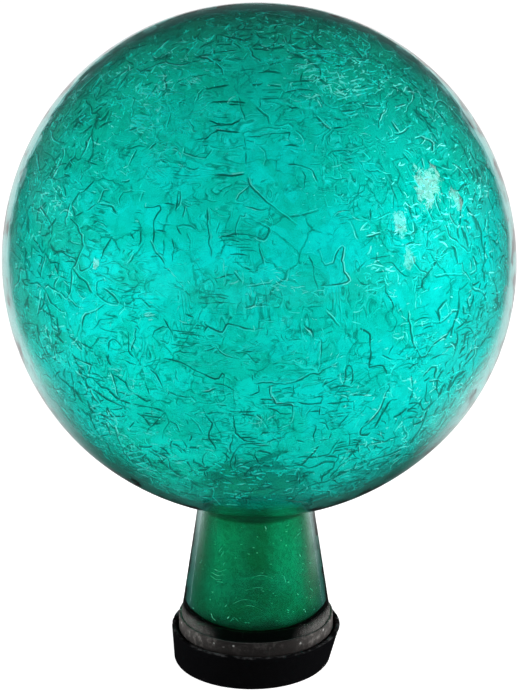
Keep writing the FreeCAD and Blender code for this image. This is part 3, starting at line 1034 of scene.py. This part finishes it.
def rippleRows(way, width, height, draw):
    # a stack of short lines one above the other, as the skin of the lining wrinkled while it cooled
    east = eastOf(way)
    north = way.cross(east)
    rows, level = [], -height / 2
    while level < height / 2:
        length = width * draw.uniform(0.3, 0.9)
        shift = draw.uniform(-0.5, 0.5) * (width - length)
        middle = (way + (east * shift + north * level) / crackle["radius"]).normalized()
        rows.append(tangentPath(middle, east, length, draw.uniform(-0.05, 0.12) * length, north))
        level += draw.uniform(1.3, 2.3)
    return rows


def growRipples(draw):
    scale, rows = view["distance"] / view["focalPixels"], []
    for pixel, (width, height) in photoRipples:
        rows += rippleRows(onBall(pixel, crackle["radius"]), width * scale, height * scale, draw)
    for _ in range(crackle["ripples"]):
        way = anyWay(draw).normalized()
        if way.z > crackle["lowest"] + 0.03:
            rows += rippleRows(way, draw.uniform(8, 20), draw.uniform(5, 14), draw)
    return rows


def thinDash(path, width):
    widths = [width] * len(path)
    widths[0] *= 0.35
    widths[-1] *= 0.35
    return path, widths


def besideCrack(points, widths, draw):
    # the lit flank of a crack, a little off to one side
    off = draw.choice((-1, 1)) * draw.uniform(0.55, 0.95)
    moved = []
    for k, p in enumerate(points):
        ahead = points[min(k + 1, len(points) - 1)] - points[max(k - 1, 0)]
        moved.append((p + p.cross(ahead).normalized() * off).normalized() * crackle["radius"])
    return moved, [w * 0.75 for w in widths]


def edgeSpots(count, draw):
    # directions of spots near the ball's edge in the photograph, where the crackle crowds together
    x, y = edgeLines["middle"]
    ways = []
    while len(ways) < count:
        turn, out = draw.uniform(0, 2 * math.pi), draw.gauss(*edgeLines["outFrom"])
        if out < edgeLines["furthest"]:
            ways.append(onBall((x + out * math.cos(turn), y + out * math.sin(turn)), crackle["radius"]))
    return ways


def strayDash(way, along, length, widths, draw):
    path = tangentPath(way, along, length, draw.uniform(-0.15, 0.15) * length)
    return thinDash(path, draw.uniform(*widths))


def edgeDarks(draw):
    dashes = []
    for way in edgeSpots(edgeLines["dark"], draw):
        along = eastOf(way) * draw.gauss(0, 1) + way.cross(eastOf(way)) * draw.gauss(0, 1)
        along.normalize()
        dashes.append(strayDash(way, along, draw.uniform(2.5, 9.0), (0.25, 0.6), draw))
    return dashes


def brightDashes(draw):
    radius = crackle["radius"]
    starts = [(way, draw.random() < 0.6) for way in edgeSpots(edgeLines["bright"], draw)]
    for pixel, spread, count in dashAreas:
        for _ in range(count):
            spot = (draw.gauss(pixel[0], spread), draw.gauss(pixel[1], spread))
            if math.dist(spot, (259, 259)) < 246:  # inside the ball's outline
                starts.append((onBall(spot, radius), True))
    while len(starts) < crackle["glints"]:
        way = anyWay(draw).normalized()
        crowd = noise.noise(way * radius * 0.035) + 0.6 * noise.noise(way * radius * 0.11)
        if way.z > crackle["lowest"] and crowd > draw.uniform(-0.1, 0.5):
            starts.append((way, draw.random() < 0.10))
    dashes = [thinDash(photoPath(pixels, draw), 0.75) for pixels in photoDashes]
    for way, bold in starts:
        along = leaning(way, 0.25, 0.35, draw)
        length = draw.uniform(0.8, 2.2) if draw.random() < 0.5 else draw.uniform(2.0, 6.0)
        dashes.append(strayDash(way, along, length, (0.32, 0.72) if bold else (0.16, 0.36), draw))
    return dashes


crackLook = {"colour": (0.0008, 0.15, 0.125), "roughness": 0.25}
glintLook = {"colour": (0.03, 0.88, 0.83), "bright": (0.55, 1.0, 0.97), "roughness": 0.35}
neckGlintLook = {"colour": (0.03, 0.52, 0.30), "bright": (0.30, 0.95, 0.70), "roughness": 0.35}


def plainPaint(name, look):
    paint = newPaint(name)
    place = paint.place()
    if "bright" in look:
        mask = paint.patches(place, 60.0, 4.0, 0.8, 0.46, 0.62)
        colour = paint.mixColour(mask, look["colour"], look["bright"])
    else:
        colour = paint.shaded(look["colour"], paint.grain(place, 180.0, 2.0) * 0.7 + 0.65)
    rough = look["roughness"] + paint.grain(place, 240.0, 1.0) * 0.2
    paint.show(paint.surface(colour, rough, {}))
    return paint


def makeSlivers(name, paths, depth, paint, face=ballFace):
    verts, faces = slivers(paths, depth, face)
    piece = linked(name, verts, faces, paint, "globe", smooth=False)
    hide(piece, "shadow")
    print(f"{name}: {len(faces)} faces")


def makeCracks(cracks):
    draw = random.Random(crackle["seed"] + 1)
    facing = cameraAxes()[2]

    def isKept(path, gap):
        # small cracks are rarer in the middle of the photographed side
        return gap > 6 or facing.angle(path[len(path) // 2]) > 0.62 or draw.random() < 0.55

    kept = [(path, gap) for path, gap in cracks if isKept(path, gap)]
    paths = [dash for path, gap in kept for dash in crackDashes(path, gap, draw)]
    flanks = [besideCrack(*dash, draw) for dash in paths if len(dash[0]) > 4 and draw.random() < 0.55]
    paths += [dash for row in growRipples(draw) for dash in crackDashes(row, 1.0, draw)] + edgeDarks(draw)
    makeSlivers("crackLines", paths, 1.2, plainPaint("darkCrack", crackLook))
    makeSlivers("crackGlints", flanks + brightDashes(draw), 0.8, plainPaint("litCrack", glintLook))


# fine lines and specks in the neck, in pixels of the photograph
neckStrokes = [
    [(212, 575), (217, 579), (222, 579)], [(213, 572), (219, 575), (225, 574)],
    [(216, 569), (221, 571), (227, 569)],
    [(218, 581), (224, 582)], [(220, 552), (223, 547)], [(222, 556), (225, 551)], [(224, 565), (226, 562)],
    [(213, 613), (214, 617), (217, 620)], [(231, 621), (235, 617), (239, 621)], [(228, 618), (230, 616)],
    [(234, 603), (244, 599), (256, 601)], [(238, 608), (250, 605), (262, 610)], [(296, 593), (297, 595)],
    [(286, 609), (288, 610)], [(298, 554), (299, 556)], [(317, 565), (318, 566)], [(308, 588), (310, 590)],
    [(265, 526), (266, 529)], [(296, 535), (299, 532)], [(303, 610), (304, 612)], [(226, 606), (228, 604)],
    [(252, 577), (262, 575), (272, 578)], [(246, 590), (258, 587), (270, 590)], [(283, 575), (285, 582)],
]


def neckRadius(z):
    # of the outside of the lining's neck, and a little more
    g = glass
    slope = (g["liningNeckLow"] - g["liningNeckHigh"]) / (g["neckTop"] - g["liningEnd"])
    return g["liningNeckHigh"] + slope * (g["neckTop"] - z) + 0.06


def onNeck(pixel):
    # the point of the lining's neck that a pixel of the photograph shows
    eye, ray = photoRay(pixel, 0)
    y = -29.0
    for _ in range(8):
        p = eye + ray * ((y - eye.y) / ray.y)
        y = -math.sqrt(max(neckRadius(p.z) ** 2 - (p.x - glass["neckX"]) ** 2, 9.0))
    return p


def smoothed(spots, parts):
    # a curve through the spots, without corners
    fine = []
    for k in range(len(spots) - 1):
        a, b = spots[k], spots[k + 1]
        into = (b - spots[k - 1]) / 2 if k else b - a
        out = (spots[k + 2] - a) / 2 if k + 2 < len(spots) else b - a
        for j in range(parts):
            t = j / parts
            fine.append(
                a * (2 * t ** 3 - 3 * t ** 2 + 1) + into * (t ** 3 - 2 * t ** 2 + t)
                + b * (3 * t ** 2 - 2 * t ** 3) + out * (t ** 3 - t ** 2)
            )
    return fine + [spots[-1]]


def makeNeckGlints():
    draw = random.Random(crackle["seed"] + 2)
    paths = []
    for pixels in neckStrokes:
        spots = [onNeck(pixel) for pixel in pixels]
        paths.append(thinDash(smoothed(spots, 5), 0.30 if (spots[-1] - spots[0]).length < 4 else 0.17))
    for _ in range(130):
        # specks all round
        z, turn = draw.uniform(34, 84), draw.uniform(0, 2 * math.pi)
        length, width = draw.uniform(0.4, 1.4), draw.uniform(0.14, 0.30)
        fine = []
        for k in range(4):
            level = z + draw.uniform(-0.1, 0.1)
            radius = neckRadius(level)
            angle = turn + length * k / 3 / radius
            fine.append(Vector((glass["neckX"] + radius * math.cos(angle), radius * math.sin(angle), level)))
        paths.append(thinDash(fine, width))
    makeSlivers("neckGlints", paths, 0.5, plainPaint("litNeckSpeck", neckGlintLook), neckFace)


makeCracks(growCrackle())
makeNeckGlints()


# Ring and cap

ringLook = {
    "colour": (0.012, 0.010, 0.0095), "dustAndLight": (0.225, 0.210, 0.198), "roughness": 0.85, "bloom": 0.10,
    "dust": (300.0, 5.0, 0.75, 0.46, 0.74), "drift": (60.0, 2.0, 0.5, 0.38, 0.60),
    # the sides are paler, partly by dust and partly as painted light from the side lamps, and the lower part
    # is darker, as the painted shadow of the cap's lip
    "dustAndLightSides": (0.014, 0.038), "paintedShade": (0.0195, 0.0235, 0.35, 1.0),
    "speck": (0.62, 0.62, 0.60), "specksAbove": (0.0215, 0.0245),
    "specks": {"scale": 270.0, "dot": (0.14, 0.28), "patches": (120.0, 2.0, 0.5, 0.50, 0.56)},
    "grit": (900.0, 3.0, 0.7),
}
capLook = {
    "colour": (0.0026, 0.0026, 0.0031), "worn": (0.012, 0.012, 0.013), "lip": (0.060, 0.060, 0.062),
    "roughness": 0.6, "shine": 0.12, "wear": (260.0, 5.0, 0.7, 0.60, 0.80), "grit": (700.0, 3.0, 0.6),
    "lipEdge": (0.0195, 0.0201), "lipRagged": (260.0, 4.0, 0.7), "lipPatches": (150.0, 4.0, 0.7, 0.46, 0.60),
}


def fromNeckAxis(paint, place):
    return abs(paint.level(place, "X") - glass["neckX"] * mm)


def ringPaint():
    look = ringLook
    paint = newPaint("dustyRubberPaintedLight")
    place = paint.place()
    dust, drift = paint.patches(place, *look["dust"]), paint.patches(place, *look["drift"])
    # paler towards the left and right sides: dust, and painted light from the side lamps
    dustAndLightSides = paint.ramp(fromNeckAxis(paint, place), *look["dustAndLightSides"])
    cover = dust * (0.05 + drift * 0.22) + dustAndLightSides * (0.2 + dust * 0.8)
    # darker low down: the painted shadow of the cap's lip
    cover = cover * paint.ramp(paint.level(place), *look["paintedShade"])
    colour = paint.mixColour(cover, look["colour"], look["dustAndLight"])
    specks = paint.specks(place, look["specks"]) * paint.ramp(paint.level(place), *look["specksAbove"])
    colour = paint.mixColour(specks, colour, look["speck"])
    bump = paint.bump(paint.grain(place, *look["grit"]), 0.6, 0.0004)
    others = {"Sheen Weight": look["bloom"], "Sheen Roughness": 0.5, "Normal": bump}
    paint.show(paint.surface(colour, look["roughness"] + dust * 0.1, others))
    return paint


def capPaint():
    look = capLook
    paint = newPaint("blackRubber")
    place = paint.place()
    worn = paint.patches(place, *look["wear"])
    colour = paint.mixColour(worn, look["colour"], look["worn"])
    ragged = paint.grain(place, *look["lipRagged"]) * 0.0018
    # a paler, broken band along the top edge of the lip
    paleLipBand = paint.ramp(paint.level(place) + ragged, *look["lipEdge"])
    colour = paint.mixColour(paleLipBand * paint.patches(place, *look["lipPatches"]), colour, look["lip"])
    bump = paint.bump(paint.grain(place, *look["grit"]), 0.3, 0.0004)
    others = {"Specular IOR Level": look["shine"], "Normal": bump}
    paint.show(paint.surface(colour, look["roughness"] + worn * 0.25, others))
    return paint


capShape = {
    "underX": -3.9, "underRadius": 40.0, "lipRadius": 43.3, "lipInside": 40.7, "lip": 19.5, "floor": 7.0,
    "floorRadius": 38.7, "footRound": 1.6, "lipRound": 0.9, "around": 216,
    # where the lip sags: angle round the axis in degrees, depth in mm, spread in degrees
    "sags": [(48, 2.3, 13), (-152, 0.5, 20), (-66, 0.35, 26), (128, 0.7, 22)], "wave": 0.25, "nick": 0.9,
}

ringShape = {
    "inside": 38.25, "outside": 39.65, "low": 17.0, "top": 26.2, "round": 0.62, "around": 216,
    "sags": [(38, 0.9, 18), (-118, 0.35, 30), (-30, 0.5, 20), (170, 0.6, 30)], "wave": 0.30,
}


def lipLevels(shape, top, turns, shift):
    # the height of a worn edge all the way round
    levels = np.full(len(turns), float(top))
    for angle, depth, spread in shape["sags"]:
        apart = (np.degrees(turns) - angle + 180) % 360 - 180
        levels -= depth * np.exp(-(apart / spread) ** 2)
    wave = [noise.noise(Vector((math.cos(t) * 3, math.sin(t) * 3, shift))) for t in turns]
    return levels - shape["wave"] * (0.5 + 0.5 * np.array(wave))


def makeCap(paint):
    s = capShape
    turns = turnsOf(s["around"])
    lip = lipLevels(s, s["lip"], turns, 2.5)
    jag = np.array([noise.noise(Vector((math.cos(t) * 9, math.sin(t) * 9, 7.3))) for t in turns])
    nick = np.clip(jag - 0.18, 0, 1) * s["nick"]
    x, r, wall, floor = glass["neckX"], s["lipRound"], s["floorRadius"], s["floor"] + 0.5
    profile = [(radius, s["floor"]) for radius in (12.0, 26.0, 36.0, wall - 0.5)] + [(wall, floor)]
    for share in (0.25, 0.5, 0.75, 1.0):
        profile.append((wall + (s["lipInside"] - wall) * share, floor + (lip - r - floor) * share))
    for angle in np.radians([150, 120, 90]):
        profile.append((s["lipInside"] + r + r * math.cos(angle), lip - r + r * math.sin(angle)))
    for angle in np.radians([90, 65, 40, 15]):
        worn = nick * (1 - abs(angle - 0.9) * 0.5)
        radii = s["lipRadius"] - r + r * math.cos(angle) - worn
        profile.append((radii, lip - r + r * math.sin(angle) - worn))
    taper = s["lipRadius"] - s["underRadius"]
    for share in np.linspace(0.94, 0.0, 11):
        levels = s["footRound"] + (lip - r - s["footRound"]) * share
        radii = s["underRadius"] + taper * levels / s["lip"] - nick * max(0.0, share - 0.75) * 1.5
        profile.append((radii, levels, s["underX"] + (x - s["underX"]) * levels / s["lip"]))
    for angle in np.radians([-22, -45, -68, -90]):
        radius = s["underRadius"] - s["footRound"] + s["footRound"] * math.cos(angle)
        profile.append((radius, s["footRound"] * (1 + math.sin(angle)), s["underX"]))
    profile += [(radius, 0.0, s["underX"]) for radius in (26.0, 12.0)]
    verts, faces = closeRings(neckRings(profile, s["around"]))
    linked("wornRubberCap", verts * mm, faces, paint, "cap", "rubber_cap")


def makeRing(paint):
    s = ringShape
    top = lipLevels(s, s["top"], turnsOf(s["around"]), 5.1)
    r, height = s["round"], top - s["round"] - s["low"]
    profile = []
    for angle in np.radians([90, 60, 30, 0]):
        profile.append((s["outside"] - r + r * math.cos(angle), top - r + r * math.sin(angle)))
    profile += [(s["outside"], s["low"] + height * share) for share in (0.75, 0.5, 0.25, 0.0)]
    profile += [(s["inside"], s["low"] + height * share) for share in (0.0, 0.5, 1.0)]
    profile.append((s["inside"] + 0.2, top - 0.15))
    verts, faces = closeLoops(neckRings(profile, s["around"]))
    linked("dustyNeckRing", verts * mm, faces, paint, "globe", "neck_ring")


footDustAndLightLook = {
    "colour": (0.095, 0.092, 0.088), "roughness": 0.9, "low": 24.8, "top": 34.0, "off": 0.02, "thick": 0.05,
    # how far to the sides it lies, where its grey also stands in as painted light for the pale background
    # seen through the glass, and the levels between which it thins out
    "dustAndLightSides": (0.020, 0.036), "fade": (0.0268, 0.0325, 0.85, 0.0),
    "cover": (420.0, 4.0, 0.7, 0.30, 0.60, 0.35, 1.0), "tone": (300.0, 3.0, 0.7),
    "ragged": (130.0, 4.0, 0.7), "raggedness": 0.004,
}


def footDustAndLightPaint():
    look = footDustAndLightLook
    paint = newPaint("footDustAndLightFilm")
    place = paint.place()
    ragged = paint.grain(place, *look["ragged"]) * look["raggedness"]
    fade = paint.ramp(paint.level(place) + ragged - look["raggedness"] / 2, *look["fade"])
    # kept to the sides: painted light for the pale background seen through the glass there
    dustAndLightSides = paint.ramp(fromNeckAxis(paint, place) + ragged, *look["dustAndLightSides"])
    colour = paint.shaded(look["colour"], paint.grain(place, *look["tone"]) * 0.8 + 0.6)
    others = {"Alpha": fade * dustAndLightSides * paint.patches(place, *look["cover"])}
    paint.show(paint.surface(colour, look["roughness"], others))
    return paint


def makeFootDustAndLight(paint):
    # dust that clings to the glass just above the ring, kept to its sides, where its grey also stands in as
    # painted light for the pale background seen through the glass
    s, foot = footDustAndLightLook, glass["footRadius"]
    levels = np.linspace(s["low"], s["top"], 7)
    inside = [(foot - max(0.0, z - glass["footTop"]) * flare + s["off"], z) for z in levels]
    outside = [(r + s["thick"], z) for r, z in inside[::-1]]
    verts, faces = closeLoops(neckRings(outside + inside, ringShape["around"]))
    hide(linked("footDustAndLight", verts * mm, faces, paint, "globe"), "shadow")


makeCap(capPaint())
makeRing(ringPaint())
makeFootDustAndLight(footDustAndLightPaint())
print("ring and cap finished")

bpy.context.scene.view_settings.view_transform = "Standard"
